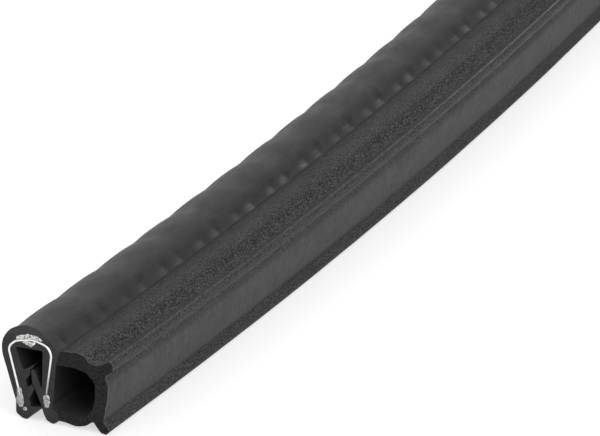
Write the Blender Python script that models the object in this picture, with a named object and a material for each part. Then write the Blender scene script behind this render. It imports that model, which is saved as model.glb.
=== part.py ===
"""Edge trim seal: a rubber grip channel on a knitted wire carrier, with a sponge side bulb.

The section lies in the XZ plane, the channel open downwards and its feet on Z = 0, and is swept
along a level arc, because the strip keeps a little of the curve of the coil it is cut from.
"""
import math

import bmesh
import bpy
from mathutils import Vector

# The strip
STRIP_LENGTH = 1.0
BOW_RADIUS = 1.4
BOW_STEPS = 24
ROOM = 0.0003

# Grip channel, outside
CHANNEL_HEIGHT = 0.0164
CROWN_RADIUS = 0.0052
BASE_WIDTH = 0.0054
FOOT_FLARE = 0.0005
SOLE_WIDTH = 0.0018
BULB_LEDGE = 0.0018
LEDGE_HEIGHT = 0.0010
WAIST_HEIGHT = 0.0026
WAIST_ROUND = 0.0010
FOOT_ROUND = 0.0011
SOLE_ROUND = 0.0009
LEDGE_ROUND = 0.0004

# Rubber round the wire carrier
OUTER_COVER = 0.00078
INNER_COVER = 0.00105
CROWN_COVER = 0.00185
CEILING_COVER = 0.00105

# Grip channel, inside
LIP_ROOT = 0.0015
LIP_TIP = 0.0009
LIP_DROP = 0.0047
LIP_PITCH = 0.0031
LIP_RISES = (0.0020, 0.0014)
MOUTH_LIP_HEIGHT = 0.0026
MOUTH_LIP_THICKNESS = 0.0010
TONGUE_DROP = 0.0035
TONGUE_BULGE_DROP = 0.0065
TONGUE_ROOT_DROP = 0.0071
TONGUE_THICKNESS = 0.0013
TONGUE_TIP = 0.0006
TONGUE_CURL = 0.0003
TONGUE_POCKET = 0.0003
TONGUE_BULGE_ROUND = 0.0010
TONGUE_FOOT_ROUND = 0.0005
TOE_GAP = 0.0015
CAVITY_CORNER = 0.0006
LIP_TIP_ROUND = 0.0003
LIP_ROOT_ROUND = 0.0002

# Wire carrier and its yarn
CARRIER_THICKNESS = 0.00043
CARRIER_BEND = 0.0024
LEFT_LEG_END = 0.0040
RIGHT_LEG_END = 0.0053
EDGE_YARN_WIDTH = 0.0009
EDGE_YARN_LENGTH = 0.0016
TOP_YARN_SPAN = 0.0050
TOP_YARN_HEIGHT = 0.0008
UNDER_YARN_SPAN = 0.0026
UNDER_YARN_HEIGHT = 0.00045
YARN_EDGE = 0.0002
YARN_ROUND = 0.0003
YARN_STEPS = 8
SLOT_NECK = 0.0009
SLOT_ROUND = 0.0001

# Side bulb
BULB_DROP = 0.0031
BOND_DROP = 0.0003
BULB_WIDTH = 0.00885
BULB_LIFT = 0.0006
BULB_TOP_WALL = 0.0027
BULB_SIDE_WALL = 0.0024
BULB_BOTTOM_WALL = 0.0020
BULB_TAPER = 0.0015
BULB_SHOULDER = 0.0036
SHOULDER_ROUND = 0.0009
SIDE_ROUND = 0.0025
BELLY_ROUND = 0.0030
BOND_ROUND = 0.0001
HOLLOW_TOP_ROUND = 0.0023
HOLLOW_BOTTOM_ROUND = 0.0030
HOLLOW_TAPER = 0.0007
UPPER_FIN_REACH = 0.0013
UPPER_FIN_DROP = 0.0005
UPPER_FIN_THICKNESS = 0.0013
UPPER_FIN_RISE = 0.0010
FIN_VALLEY = 0.0016
VALLEY_WIDTH = 0.0013
VALLEY_ROUND = 0.0009
FIN_ROUND = 0.0005
LOWER_FIN_WIDTH = 0.0020
LOWER_FIN_HEIGHT = 0.0024
LOWER_FIN_SLANT = math.radians(42)
LOWER_FIN_ROUND = 0.0006

# Arcs: finest turn of a facet on a wide curve and on a small edge
WIDE_CURVE = 0.002
WIDE_TURN = math.radians(18)
EDGE_TURN = math.radians(60)
STRAIGHT_TURN = math.radians(1)
FILLET_SHARE = 0.47
BOND_STEPS = 4

# Finish of each material: linear grey, roughness, metallic
FINISHES = {
    "dense_rubber": (0.022, 0.5, 0.0),
    "sponge_rubber": (0.018, 0.8, 0.0),
    "steel_wire": (0.62, 0.3, 1.0),
    "polyester_yarn": (0.60, 0.9, 0.0),
}

LEG = OUTER_COVER + ROOM + CARRIER_THICKNESS + ROOM + INNER_COVER
CENTRE_HEIGHT = CHANNEL_HEIGHT - CROWN_RADIUS
REACH = math.hypot(BASE_WIDTH / 2, CENTRE_HEIGHT)
LEAN_ANGLE = math.asin(CROWN_RADIUS / REACH) - math.atan2(BASE_WIDTH / 2, CENTRE_HEIGHT)
LEAN = math.tan(LEAN_ANGLE)
CARRIER_TOP = CHANNEL_HEIGHT - CROWN_COVER - ROOM - CARRIER_THICKNESS / 2
CEILING = CARRIER_TOP - CARRIER_THICKNESS / 2 - ROOM - CEILING_COVER


def outer_half(height):
    """Half the width across the outer faces of the legs at a height."""
    return BASE_WIDTH / 2 + LEAN * height


def inner_half(height):
    """Half the width of the cavity at a height."""
    return outer_half(height) - LEG


def arc(centre, radius, start, end):
    """Points of an arc from one angle to another, both ends included."""
    finest = WIDE_TURN if radius > WIDE_CURVE else EDGE_TURN
    steps = max(1, math.ceil(abs(end - start) / finest))
    angles = [start + (end - start) * i / steps for i in range(steps + 1)]
    return [(centre[0] + radius * math.cos(a), centre[1] + radius * math.sin(a)) for a in angles]


def fillet(before, corner, after):
    """The arc that rounds one corner, no wider than its two edges allow."""
    x, z, radius = corner
    point = Vector((x, z))
    back = Vector(before[:2]) - point
    ahead = Vector(after[:2]) - point
    opening = back.angle(ahead)
    if radius == 0 or math.pi - opening < STRAIGHT_TURN:
        return [(x, z)]
    half = math.tan(opening / 2)
    setback = min(radius / half, FILLET_SHARE * min(back.length, ahead.length))
    radius = setback * half
    inward = (back.normalized() + ahead.normalized()).normalized()
    centre = point + inward * radius / math.sin(opening / 2)
    first = point + back.normalized() * setback - centre
    turn = (math.pi - opening) * (1 if back.cross(ahead) < 0 else -1)
    start = math.atan2(first.y, first.x)
    return arc(centre, radius, start, start + turn)


def rounded(corners):
    """Closed outline through corners, each given as x, z and a rounding radius."""
    points = []
    for i, corner in enumerate(corners):
        points += fillet(corners[i - 1], corner, corners[(i + 1) % len(corners)])
    return points


def tongue_face(height):
    """X of the tongue's gripping face at a height."""
    bulge_height = CEILING - TONGUE_BULGE_DROP
    bulge = inner_half(bulge_height) - TONGUE_THICKNESS
    if height > bulge_height:
        share = (height - bulge_height) / (TONGUE_BULGE_DROP - TONGUE_DROP)
        return bulge + TONGUE_CURL * share
    share = (height - MOUTH_LIP_HEIGHT) / (bulge_height - MOUTH_LIP_HEIGHT)
    return TOE_GAP + (bulge - TOE_GAP) * share


def lip(root, rise):
    """Corners of one gripping lip on the left wall, from its underside to its top."""
    low = root - LIP_ROOT / 2
    high = root + LIP_ROOT / 2
    tip = root + rise
    tip_x = tongue_face(min(tip, CEILING - TONGUE_DROP)) - ROOM
    return [
        (-inner_half(low), low, LIP_ROOT_ROUND),
        (tip_x, tip - LIP_TIP / 2, LIP_TIP_ROUND),
        (tip_x, tip + LIP_TIP / 2, LIP_TIP_ROUND),
        (-inner_half(high), high, LIP_ROOT_ROUND),
    ]


def channel_outline():
    """Outer skin, feet, lips and tongue of the grip channel as one closed outline."""
    foot = -outer_half(0) - FOOT_FLARE
    ledge = outer_half(0) + BULB_LEDGE
    mouth_tip = TOE_GAP - ROOM
    mouth_low = MOUTH_LIP_HEIGHT - MOUTH_LIP_THICKNESS
    corners = [
        (-outer_half(WAIST_HEIGHT), WAIST_HEIGHT, WAIST_ROUND),
        (foot, 0, FOOT_ROUND),
        (foot + SOLE_WIDTH, 0, SOLE_ROUND),
        (mouth_tip, mouth_low, LIP_TIP_ROUND),
        (mouth_tip, MOUTH_LIP_HEIGHT, LIP_TIP_ROUND),
        (-inner_half(MOUTH_LIP_HEIGHT), MOUTH_LIP_HEIGHT, LIP_TIP_ROUND),
    ]
    for i, rise in reversed(list(enumerate(LIP_RISES))):
        corners += lip(CEILING - LIP_DROP - LIP_PITCH * i, rise)
    tongue_top = CEILING - TONGUE_DROP
    tongue_root = CEILING - TONGUE_ROOT_DROP
    bulge_height = CEILING - TONGUE_BULGE_DROP
    corners += [
        (-inner_half(CEILING), CEILING, CAVITY_CORNER),
        (inner_half(CEILING), CEILING, CAVITY_CORNER),
        (inner_half(tongue_root) + TONGUE_POCKET, tongue_root, LIP_ROOT_ROUND),
        (tongue_face(tongue_top) + TONGUE_TIP, tongue_top, LIP_ROOT_ROUND),
        (tongue_face(tongue_top), tongue_top, LIP_ROOT_ROUND),
        (tongue_face(bulge_height), bulge_height, TONGUE_BULGE_ROUND),
        (TOE_GAP, MOUTH_LIP_HEIGHT, TONGUE_FOOT_ROUND),
        (TOE_GAP, 0, SOLE_ROUND),
        (TOE_GAP + SOLE_WIDTH, 0, SOLE_ROUND),
        (ledge, LEDGE_HEIGHT, LEDGE_ROUND),
        (outer_half(WAIST_HEIGHT), WAIST_HEIGHT, WAIST_ROUND),
    ]
    crown = arc((0, CENTRE_HEIGHT), CROWN_RADIUS, -LEAN_ANGLE, math.pi + LEAN_ANGLE)
    start = (*crown[0], 0)
    end = (*crown[-1], 0)
    outline = []
    chain = [end] + corners + [start]
    for before, corner, after in zip(chain, corners, chain[2:]):
        outline += fillet(before, corner, after)
    return outline + crown


def carrier_path():
    """Middle line of the wire carrier, up the left leg, over the crown and down the right."""
    inset = OUTER_COVER + ROOM + CARRIER_THICKNESS / 2
    left = [-outer_half(z) + inset for z in (LEFT_LEG_END, CARRIER_TOP)]
    right = [outer_half(z) - inset for z in (CARRIER_TOP, RIGHT_LEG_END)]
    ends = [(left[0], LEFT_LEG_END, 0), (right[1], RIGHT_LEG_END, 0)]
    corners = [(left[1], CARRIER_TOP, CARRIER_BEND), (right[0], CARRIER_TOP, CARRIER_BEND)]
    first = fillet(ends[0], corners[0], corners[1])
    second = fillet(corners[0], corners[1], ends[1])
    return [ends[0][:2]] + first + second + [ends[1][:2]]


def beside(path, offset):
    """The path moved sideways, outwards for a positive offset and inwards for a negative one."""
    moved = []
    for i, point in enumerate(path):
        back = Vector(path[max(i - 1, 0)])
        ahead = Vector(path[min(i + 1, len(path) - 1)])
        along = (ahead - back).normalized()
        moved.append((point[0] - along.y * offset, point[1] + along.x * offset))
    return moved


def lens(x, span, height):
    """Height of a yarn bundle over the wire at x, down to a thin edge at the ends of its span."""
    share = min(1, abs(x) / (span / 2))
    return YARN_EDGE + (height - YARN_EDGE) * (1 - share * share)


def yarn_end(path, leg):
    """Where an edge yarn starts and stops below the end of a leg of the wire, and which way."""
    end = Vector(path[0 if leg == "left" else -1])
    inner = Vector(path[1 if leg == "left" else -2])
    down = (end - inner).normalized()
    start = end + down * ROOM
    return start, start + down * EDGE_YARN_LENGTH, down


def edge_pocket(path, leg):
    """The slot's end round an edge yarn, from one side of the leg to the other."""
    start, stop, down = yarn_end(path, leg)
    side = Vector((-down.y, down.x))
    half = EDGE_YARN_WIDTH / 2 + ROOM
    wire = CARRIER_THICKNESS / 2 + ROOM
    neck = start - down * SLOT_NECK
    shoulder = start - down * ROOM
    bottom = stop + down * ROOM
    corners = [
        (*(neck + side * wire), 0),
        (*(shoulder + side * half), SLOT_ROUND),
        (*(bottom + side * half), YARN_ROUND + ROOM),
        (*(bottom - side * half), YARN_ROUND + ROOM),
        (*(shoulder - side * half), SLOT_ROUND),
        (*(neck - side * wire), 0),
    ]
    return rounded(corners)


def spread(half):
    """Evenly spaced places from one side of the crown to the other."""
    return [half * (2 * i / YARN_STEPS - 1) for i in range(YARN_STEPS + 1)]


def crown_pocket(span, height, up):
    """The slot's wall round a crown yarn, from left to right."""
    base = CARRIER_TOP + up * (CARRIER_THICKNESS / 2 + ROOM)
    xs = spread(span / 2 + ROOM)
    return [(x, base + up * (lens(x, span, height) + ROOM)) for x in xs]


def slot_side(path, offset, span, pocket):
    """One wall of the slot along the wire, with the pocket of the crown yarn in it."""
    wall = beside(path, offset)[1:-1]
    reach = span / 2 + ROOM * 2
    left = [p for p in wall if p[0] < -reach]
    right = [p for p in wall if p[0] > reach]
    return left + pocket + right


def slot_outline(path):
    """The slot in the rubber: room round the wire, and wider pockets round the yarn."""
    wire = CARRIER_THICKNESS / 2 + ROOM
    over = crown_pocket(TOP_YARN_SPAN, TOP_YARN_HEIGHT, 1)
    under = crown_pocket(UNDER_YARN_SPAN, UNDER_YARN_HEIGHT, -1)
    outer = slot_side(path, wire, TOP_YARN_SPAN, over)
    inner = slot_side(path, -wire, UNDER_YARN_SPAN, under)
    return edge_pocket(path, "left") + outer + edge_pocket(path, "right") + inner[::-1]


def carrier_outline(path):
    """The wire carrier as one thin band."""
    half = CARRIER_THICKNESS / 2
    return beside(path, half) + beside(path, -half)[::-1]


def edge_yarn_outline(path, leg):
    """A bundle of yarn below the end of one leg of the wire."""
    start, stop, down = yarn_end(path, leg)
    side = Vector((-down.y, down.x)) * EDGE_YARN_WIDTH / 2
    ends = (start - side, stop - side, stop + side, start + side)
    return rounded([(*corner, YARN_ROUND) for corner in ends])


def crown_yarn_outline(span, height, up):
    """A bundle of yarn lying along the crown, over the wire or under it."""
    foot = CARRIER_TOP + up * (CARRIER_THICKNESS / 2 + ROOM)
    xs = spread(span / 2)
    arch = [(x, foot + up * lens(x, span, height)) for x in xs]
    return arch + [(xs[-1], foot), (xs[0], foot)]


def skin(height):
    """X of the bulb's bonded face, which follows the channel's right wall and crown."""
    if height > CENTRE_HEIGHT - CROWN_RADIUS * math.sin(LEAN_ANGLE):
        return math.sqrt((CROWN_RADIUS + ROOM) ** 2 - (height - CENTRE_HEIGHT) ** 2)
    return outer_half(height) + ROOM / math.cos(LEAN_ANGLE)


def lower_fin(notch_x):
    """Corners of the slanting finger below the bulb's side, from its inner edge to the notch."""
    notch = Vector((notch_x, LOWER_FIN_HEIGHT))
    out = Vector((math.cos(LOWER_FIN_SLANT), -math.sin(LOWER_FIN_SLANT)))
    across = Vector((-math.sin(LOWER_FIN_SLANT), -math.cos(LOWER_FIN_SLANT)))
    inner = notch + across * LOWER_FIN_WIDTH
    sink = LOWER_FIN_ROUND * (out.x - out.y - 1)
    reach = (inner.y + sink) / -out.y
    root = inner - out * (BULB_LIFT + FIN_ROUND + FIN_ROUND - inner.y) / -out.y
    return [
        (*root, FIN_ROUND),
        (*(inner + out * reach), LOWER_FIN_ROUND),
        (*(notch + out * reach), LOWER_FIN_ROUND),
        (*notch, FIN_ROUND),
    ]


def upper_fin(side, top):
    """Corners of the upper fin and the valley behind it, from its neck to the bulb's top."""
    fin_top = top - UPPER_FIN_DROP
    tip = side + UPPER_FIN_REACH
    neck = fin_top - UPPER_FIN_THICKNESS - UPPER_FIN_RISE
    valley = side - BULB_SHOULDER + VALLEY_WIDTH
    return [
        (side - FIN_ROUND, neck, FIN_ROUND),
        (tip, fin_top - UPPER_FIN_THICKNESS, FIN_ROUND),
        (tip, fin_top, FIN_ROUND),
        (valley + VALLEY_ROUND, top - FIN_VALLEY, VALLEY_ROUND),
        (valley - VALLEY_WIDTH / 2, top - FIN_VALLEY, VALLEY_ROUND / 2),
        (side - BULB_SHOULDER, top, SHOULDER_ROUND),
    ]


def bulb_outline():
    """The sponge bulb: a C that is closed by the channel's right wall, with two fins."""
    top = CHANNEL_HEIGHT - BULB_DROP
    wall = outer_half(CENTRE_HEIGHT)
    side = wall + BULB_WIDTH
    ledge = outer_half(0) + BULB_LEDGE + ROOM
    hollow_top = top - BULB_TOP_WALL
    hollow_bottom = BULB_LIFT + BULB_BOTTOM_WALL
    hollow_side = side - BULB_SIDE_WALL
    notch = side - BULB_TAPER
    fin = lower_fin(notch)
    belly = (ledge + fin[0][0]) / 2
    upper = upper_fin(side, top)
    neck_height = upper[0][1]
    corners = [
        (skin(hollow_bottom), hollow_bottom, BOND_ROUND),
        (ledge, LEDGE_HEIGHT, BOND_ROUND),
        (belly, BULB_LIFT, BELLY_ROUND),
    ]
    corners += fin
    corners.append((side, (LOWER_FIN_HEIGHT + neck_height * 2) / 3, SIDE_ROUND))
    corners += upper
    bond_top = top - BOND_DROP
    heights = [bond_top + (hollow_top - bond_top) * i / BOND_STEPS for i in range(BOND_STEPS + 1)]
    bond = [(skin(z), z, 0) for z in heights]
    hollow = [
        (hollow_side, hollow_top, HOLLOW_TOP_ROUND),
        (hollow_side - HOLLOW_TAPER, hollow_bottom, HOLLOW_BOTTOM_ROUND),
    ]
    return rounded(corners + bond + hollow)


def section_face(mesh, loops):
    """Fill the outline, less its holes, at the near cut end."""
    edges = []
    for loop in loops:
        corners = [mesh.verts.new((x, 0, z)) for x, z in loop]
        edges += [mesh.edges.new(pair) for pair in zip(corners, corners[1:] + corners[:1])]
    bmesh.ops.triangle_fill(mesh, use_beauty=True, edges=edges)


def sweep(mesh):
    """Carry the section along the bow to the far cut end."""
    bmesh.ops.spin(
        mesh,
        geom=mesh.verts[:] + mesh.edges[:] + mesh.faces[:],
        cent=(-BOW_RADIUS, 0, 0),
        axis=(0, 0, 1),
        angle=STRIP_LENGTH / BOW_RADIUS,
        steps=BOW_STEPS,
    )
    bmesh.ops.recalc_face_normals(mesh, faces=mesh.faces[:])


def centre_offset(outlines):
    """How far the strip moves so that the middle of its base is the origin."""
    xs = [x for loop in outlines for x, z in loop]
    ahead = STRIP_LENGTH / BOW_RADIUS
    left = (min(xs) + BOW_RADIUS) * math.cos(ahead) - BOW_RADIUS
    far = (max(xs) + BOW_RADIUS) * math.sin(ahead)
    return Vector((-(left + max(xs)) / 2, -far / 2, 0))


def plain_material(name):
    """A plain surface in the finish of that name."""
    grey, roughness, metallic = FINISHES[name]
    material = bpy.data.materials.new(name)
    material.use_nodes = True
    shader = material.node_tree.nodes["Principled BSDF"]
    shader.inputs["Base Color"].default_value = (grey, grey, grey, 1)
    shader.inputs["Roughness"].default_value = roughness
    shader.inputs["Metallic"].default_value = metallic
    return material


def strip_piece(name, loops, material, offset, collection):
    """One length of the section as a closed solid."""
    mesh = bmesh.new()
    section_face(mesh, loops)
    sweep(mesh)
    bmesh.ops.translate(mesh, verts=mesh.verts[:], vec=offset)
    data = bpy.data.meshes.new(name)
    mesh.to_mesh(data)
    mesh.free()
    data.materials.append(material)
    data.shade_smooth()
    data.set_sharp_from_angle(angle=math.radians(40))
    collection.objects.link(bpy.data.objects.new(name, data))


def main():
    for old in list(bpy.data.objects):
        bpy.data.objects.remove(old, do_unlink=True)
    collection = bpy.data.collections.new("edge_trim_seal")
    bpy.context.scene.collection.children.link(collection)

    path = carrier_path()
    channel = channel_outline()
    bulb = bulb_outline()
    offset = centre_offset([channel, bulb])
    dense = plain_material("dense_rubber")
    sponge = plain_material("sponge_rubber")
    steel = plain_material("steel_wire")
    yarn = plain_material("polyester_yarn")
    pieces = {
        "grip_channel": ([channel, slot_outline(path)], dense),
        "side_bulb": ([bulb], sponge),
        "wire_carrier": ([carrier_outline(path)], steel),
        "crown_yarn_top": ([crown_yarn_outline(TOP_YARN_SPAN, TOP_YARN_HEIGHT, 1)], yarn),
        "crown_yarn_under": ([crown_yarn_outline(UNDER_YARN_SPAN, UNDER_YARN_HEIGHT, -1)], yarn),
        "left_edge_yarn": ([edge_yarn_outline(path, "left")], yarn),
        "right_edge_yarn": ([edge_yarn_outline(path, "right")], yarn),
    }
    for name, (loops, material) in pieces.items():
        strip_piece(name, loops, material, offset, collection)


main()
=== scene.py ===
# %% [markdown]
# # Edge trim seal with a side bulb
# A length of rubber trim: a dense channel that grips a panel's edge, a knitted wire carrier
# moulded into it, and a soft sponge bulb along one side. The strip is one section carried along
# a gentle bow, so nearly everything here is drawn once in the section, in millimetres, and then
# swept. Values that end in _MM are in millimetres, all other lengths are in metres.

import math
import random

import bmesh
import bpy
from mathutils import Matrix, Vector, geometry, noise


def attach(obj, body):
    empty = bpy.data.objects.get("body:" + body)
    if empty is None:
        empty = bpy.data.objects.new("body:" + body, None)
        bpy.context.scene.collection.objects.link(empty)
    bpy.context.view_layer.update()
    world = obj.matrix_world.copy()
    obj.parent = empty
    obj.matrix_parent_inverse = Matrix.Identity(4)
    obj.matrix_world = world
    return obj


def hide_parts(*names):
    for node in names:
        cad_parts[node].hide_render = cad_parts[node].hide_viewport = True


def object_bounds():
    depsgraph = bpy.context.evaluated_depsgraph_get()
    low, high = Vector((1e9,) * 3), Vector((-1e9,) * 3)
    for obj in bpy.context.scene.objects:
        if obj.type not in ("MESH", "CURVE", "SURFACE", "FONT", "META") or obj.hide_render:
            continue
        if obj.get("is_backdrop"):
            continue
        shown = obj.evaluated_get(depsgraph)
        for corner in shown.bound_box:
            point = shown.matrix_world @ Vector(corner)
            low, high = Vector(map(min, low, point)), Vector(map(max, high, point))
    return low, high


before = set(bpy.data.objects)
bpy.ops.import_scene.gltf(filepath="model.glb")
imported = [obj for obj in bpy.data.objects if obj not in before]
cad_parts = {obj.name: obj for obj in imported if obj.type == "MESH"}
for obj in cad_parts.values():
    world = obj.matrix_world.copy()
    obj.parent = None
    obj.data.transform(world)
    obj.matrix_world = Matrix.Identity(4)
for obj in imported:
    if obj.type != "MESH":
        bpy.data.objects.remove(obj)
cad_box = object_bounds()
print("CAD box", [round(v, 4) for corner in cad_box for v in corner])

# %% [markdown]
# ## Where the strip lies
# Trim like this is cut from a coil and keeps a little of its curve, so the strip follows a level
# arc. Every piece is placed with three numbers: how far to the right in the section, how far
# along the strip from the near cut, and how high. One function turns those into the world, and
# the near cut's place comes from the frame's own boxes.

# %% Strip coordinates
MM = 0.001
STRIP_LENGTH = 1.0
BOW_RADIUS = 1.4
CROWN_RADIUS_MM = 5.2
CROWN_CENTRE_MM = 11.2
FIN_REACH_MM = 15.49

near_x = cad_box[1].x - FIN_REACH_MM * MM
near_y = cad_box[0].y
bow_centre = Vector((near_x - BOW_RADIUS, near_y, 0))


def on_strip(x_mm, along, z_mm):
    """World place of a section point at a distance along the strip from its near cut."""
    angle = along / BOW_RADIUS
    radius = BOW_RADIUS + x_mm * MM
    return bow_centre + Vector((radius * math.cos(angle), radius * math.sin(angle), z_mm * MM))


print("near cut at", [round(v, 4) for v in on_strip(0, 0, 0)])

# %% [markdown]
# ## Studio
# The reference is a catalogue shot through a long lens: the camera stands far off with a narrow
# view and leans a few degrees. Black rubber shows its form only through broad reflections, so the
# surroundings are nearly white and large soft lamps lie along the strip, rather than small lamps
# that would leave hard dots. The strip lies on a light table, as cut-out shots often do, because a
# plain floor would turn grey under it.

# %% Camera
VIEW_AZIMUTH = math.radians(32.28)
VIEW_ELEVATION = math.radians(23.24)
VIEW_LEAN = math.radians(3.52)
VIEW_DISTANCE = 1.0712
VIEW_LENS_MM = 390.5
AIM_X_MM = 7.1
AIM_Z_MM = 8.0
AIM_AHEAD = 0.07033

toward_camera = Vector((
    math.sin(VIEW_AZIMUTH) * math.cos(VIEW_ELEVATION),
    -math.cos(VIEW_AZIMUTH) * math.cos(VIEW_ELEVATION),
    math.sin(VIEW_ELEVATION),
))
aim = on_strip(AIM_X_MM, 0, AIM_Z_MM) + Vector((0, AIM_AHEAD, 0))
camera = bpy.data.objects.new("catalogue_camera", bpy.data.cameras.new("catalogue_camera"))
camera.data.lens = VIEW_LENS_MM
camera.data.sensor_width = 36
camera.data.clip_end = 50
camera.location = aim + toward_camera * VIEW_DISTANCE
upright = toward_camera.to_track_quat("Z", "Y").to_matrix()
camera.rotation_euler = (upright @ Matrix.Rotation(-VIEW_LEAN, 3, "Z")).to_euler()
bpy.context.scene.collection.objects.link(camera)
bpy.context.scene.camera = camera
print("camera at", [round(v, 3) for v in camera.location])

# %% Helpers for nodes and colours


def linear(hex_colour):
    """An sRGB hex colour as the linear colour that a shader takes."""
    values = [int(hex_colour[i:i + 2], 16) / 255 for i in (1, 3, 5)]
    return [v / 12.92 if v <= 0.04045 else ((v + 0.055) / 1.055) ** 2.4 for v in values] + [1.0]


def fill(tree, node, inputs):
    """Links each input that is given a socket, and sets the others to the given value."""
    for key, value in inputs.items():
        if isinstance(value, bpy.types.NodeSocket):
            tree.links.new(value, node.inputs[key])
        else:
            node.inputs[key].default_value = value


def add_node(tree, kind, settings=None, inputs=None):
    """Adds a node, sets its properties, and fills its inputs."""
    node = tree.nodes.new(kind)
    for name, value in (settings or {}).items():
        setattr(node, name, value)
    fill(tree, node, inputs or {})
    return node


def new_material(name):
    """A material with its tree and its shader."""
    material = bpy.data.materials.new(name)
    material.use_nodes = True
    return material, material.node_tree, material.node_tree.nodes["Principled BSDF"]


# %% Floor, surroundings and lamps
FLOOR_SIZE = 12.0


def studio_material():
    """Frosted white acrylic, lit from below: it stays pale under the strip and has no gleam."""
    material, tree, shader = new_material("backlit_frosted_acrylic")
    frost = add_node(tree, "ShaderNodeTexNoise", inputs={"Scale": 90.0, "Detail": 3.0})
    tone = add_node(tree, "ShaderNodeMapRange", inputs={
        "Value": frost.outputs["Fac"], "To Min": 0.40, "To Max": 0.42})
    fill(tree, shader, {
        "Base Color": tone.outputs["Result"], "Emission Color": linear("#ffffff"),
        "Emission Strength": 0.60, "Roughness": 0.9, "Specular IOR Level": 0.2})
    return material


bpy.ops.mesh.primitive_plane_add(size=FLOOR_SIZE, location=(0, 0, 0))
floor = bpy.context.object
floor.name = "light_table"
floor.data.materials.append(studio_material())
floor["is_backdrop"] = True

world = bpy.data.worlds.new("white_room")
bpy.context.scene.world = world
world.use_nodes = True
fill(world.node_tree, world.node_tree.nodes["Background"], {"Color": linear("#fbfbfc"), "Strength": 1.0})
bpy.context.scene.view_settings.view_transform = "Standard"


def soft_lamp(name, place, target, size, power):
    """A square soft box facing its target. The camera doesn't see the lamp itself."""
    lamp = bpy.data.lights.new(name, "AREA")
    lamp.shape = "RECTANGLE"
    lamp.size, lamp.size_y = size
    lamp.energy = power
    lamp_object = bpy.data.objects.new(name, lamp)
    lamp_object.location = place
    lamp_object.rotation_euler = (Vector(place) - Vector(target)).to_track_quat("Z", "Y").to_euler()
    lamp_object.visible_camera = False
    bpy.context.scene.collection.objects.link(lamp_object)


strip_middle = on_strip(0, STRIP_LENGTH / 2, 8)
soft_lamp("overhead_box", (-0.9, 0.1, 1.6), strip_middle, (1.6, 1.2), 2)
soft_lamp("side_box", (1.5, -0.9, 0.7), strip_middle, (1.2, 0.8), 14)
soft_lamp("back_box", (-1.1, 1.4, 0.8), strip_middle, (1.4, 0.7), 2)
print("lamps ready")

# %% [markdown]
# ## The section's outlines
# The die that extrudes this trim has one outline for the dense rubber and one for the sponge.
# Each is written as corners with a rounding radius, going round anticlockwise, as a die maker
# would draw it. The walls lean with the same slope that makes them tangent to the round crown,
# so only the crown's radius and the width at the feet decide them. The photo shows two things that
# plain arcs would miss: the crown bulges a little to the left, and on the right the dense rubber
# flares out in three short steps to meet the sponge.

# %% Rounded outlines
FOOT_HALF_WIDTH_MM = 2.7
SMALL_ROUND_MM = 0.35
SMALL_TURN = math.radians(80)
MIDDLE_TURN = math.radians(32)
CROWN_TURN = math.radians(6.5)
NEARLY_STRAIGHT = math.radians(177)
EDGE_SHARE = 0.48

foot_reach = math.hypot(FOOT_HALF_WIDTH_MM, CROWN_CENTRE_MM)
lean_angle = math.asin(CROWN_RADIUS_MM / foot_reach) - math.atan2(FOOT_HALF_WIDTH_MM, CROWN_CENTRE_MM)


def wall(z_mm):
    """Half the width across the channel's outer walls at a height."""
    return FOOT_HALF_WIDTH_MM + math.tan(lean_angle) * z_mm


def arc(centre, radius, start, end, turn):
    """Points on an arc, no two of them more than a turn apart."""
    steps = max(1, math.ceil(abs(end - start) / turn))
    angles = [start + (end - start) * i / steps for i in range(steps + 1)]
    return [(centre[0] + radius * math.cos(a), centre[1] + radius * math.sin(a)) for a in angles]


def fillet(before, corner, after, fineness=1.0):
    """The arc that rounds one corner, no wider than its two edges allow."""
    point = Vector(corner[:2])
    back = Vector(before[:2]) - point
    ahead = Vector(after[:2]) - point
    opening = back.angle(ahead)
    if corner[2] == 0 or opening > NEARLY_STRAIGHT:
        return [corner[:2]]
    half = math.tan(opening / 2)
    setback = min(corner[2] / half, EDGE_SHARE * back.length, EDGE_SHARE * ahead.length)
    radius = setback * half
    centre = point + (back.normalized() + ahead.normalized()).normalized() * radius / math.sin(opening / 2)
    first = point + back.normalized() * setback - centre
    turn = (math.pi - opening) * (1 if back.cross(ahead) < 0 else -1)
    start = math.atan2(first.y, first.x)
    step = SMALL_TURN if radius < SMALL_ROUND_MM else MIDDLE_TURN
    return arc(centre, radius, start, start + turn, step / fineness)


def rounded(corners, closed=True, fineness=1.0):
    """An outline through corners, each given as x, z and a rounding radius."""
    if not closed:
        inner = zip(corners, corners[1:], corners[2:])
        middle = [p for trio in inner for p in fillet(*trio, fineness)]
        return [corners[0][:2]] + middle + [corners[-1][:2]]
    ring = zip(corners[-1:] + corners[:-1], corners, corners[1:] + corners[:1])
    return [p for trio in ring for p in fillet(*trio, fineness)]


def split_long(points, longest):
    """The same closed outline with points added on edges longer than a length."""
    split = []
    for a, b in zip(points, points[1:] + points[:1]):
        parts = max(1, math.ceil(math.dist(a, b) / longest))
        split += [(a[0] + (b[0] - a[0]) * i / parts, a[1] + (b[1] - a[1]) * i / parts)
                  for i in range(parts)]
    return split


# %% Outline of the dense channel
LEFT_BULGE_MM = 0.16
LEFT_BULGE_ANGLE = math.radians(158)
CROWN_START = math.radians(33)
LONGEST_EDGE_MM = 2.3

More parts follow.
